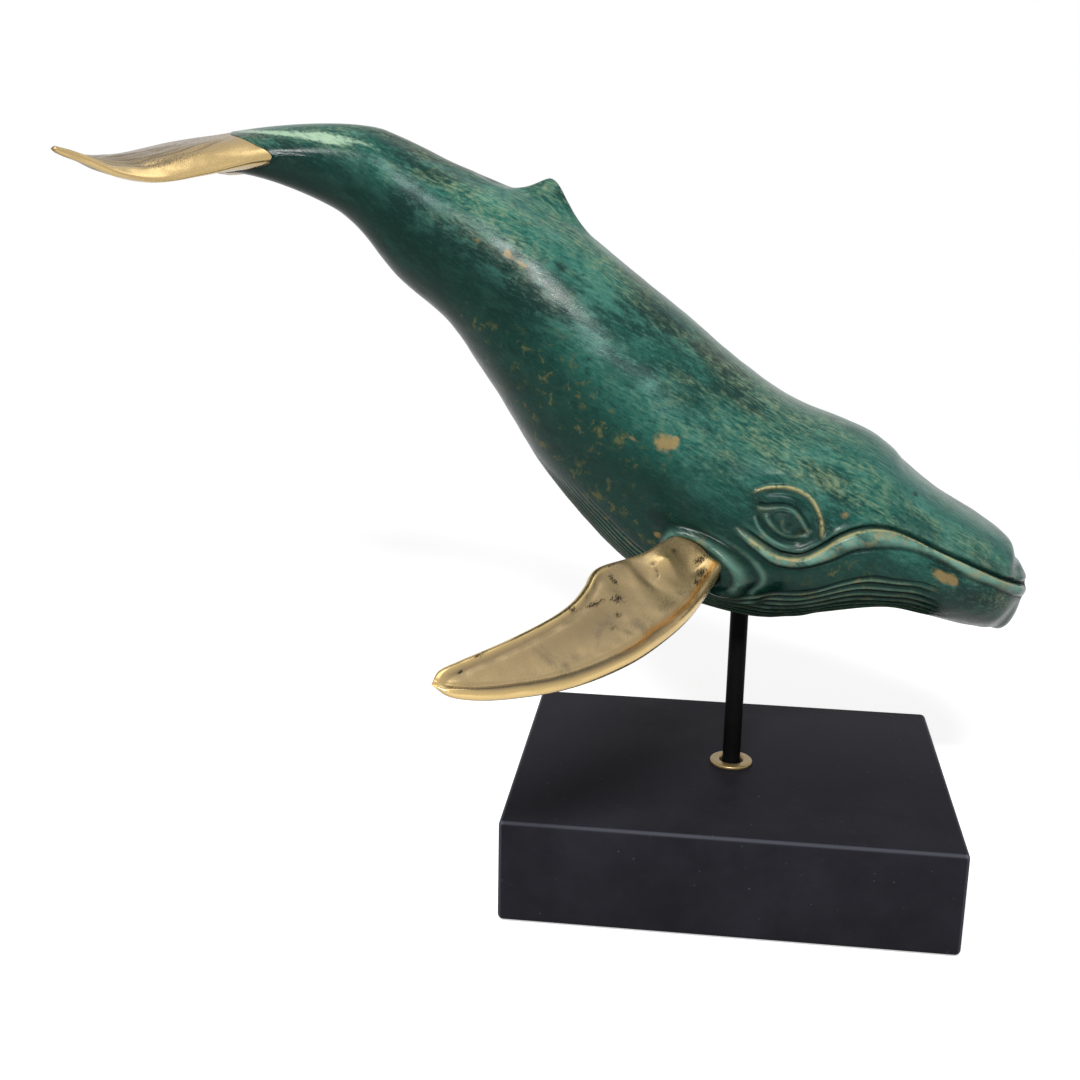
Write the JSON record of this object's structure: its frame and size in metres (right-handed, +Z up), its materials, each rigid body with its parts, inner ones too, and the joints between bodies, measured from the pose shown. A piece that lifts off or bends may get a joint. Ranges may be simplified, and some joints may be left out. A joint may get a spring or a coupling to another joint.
{
  "type": "whale figurine",
  "caption": "Diving humpback whale in green patinated brass with polished flippers and tail fluke, turning on a black rod above a painted wooden block base.",
  "frame": {"origin": "centre of the felt foot under the base, on the rod's axis", "axes": "+Z up along the rod, +X from the rod towards the whale's head, +Y to the whale's left"},
  "size_m": [0.3935, 0.3576, 0.3275],
  "materials": {
    "green_patina": "waxed green patina, rubbed back on the ridges",
    "polished_brass": "polished casting with open pits",
    "aged_brass": "turned and dulled",
    "black_rod": "satin black",
    "black_wood": "satin black paint",
    "zinc_steel": "bright zinc",
    "black_felt": "pressed felt"
  },
  "bodies": {
    "stand": {"base_block": "black_wood", "base_felt": "black_felt", "base_washer": "zinc_steel", "base_nut": "zinc_steel", "support_rod": "black_rod", "rod_ring": "aged_brass"},
    "whale": {"whale_body": "green_patina", "right_flipper": "polished_brass", "left_flipper": "polished_brass", "tail_fluke": "polished_brass", "rod_socket": "aged_brass"}
  },
  "joints": [
    {"name": "whale_turn", "type": "hinge", "parent": "stand", "child": "whale", "pos_m": [0, 0, 0.135], "axis": [0, 0, 1], "continuous": true}
  ]
}
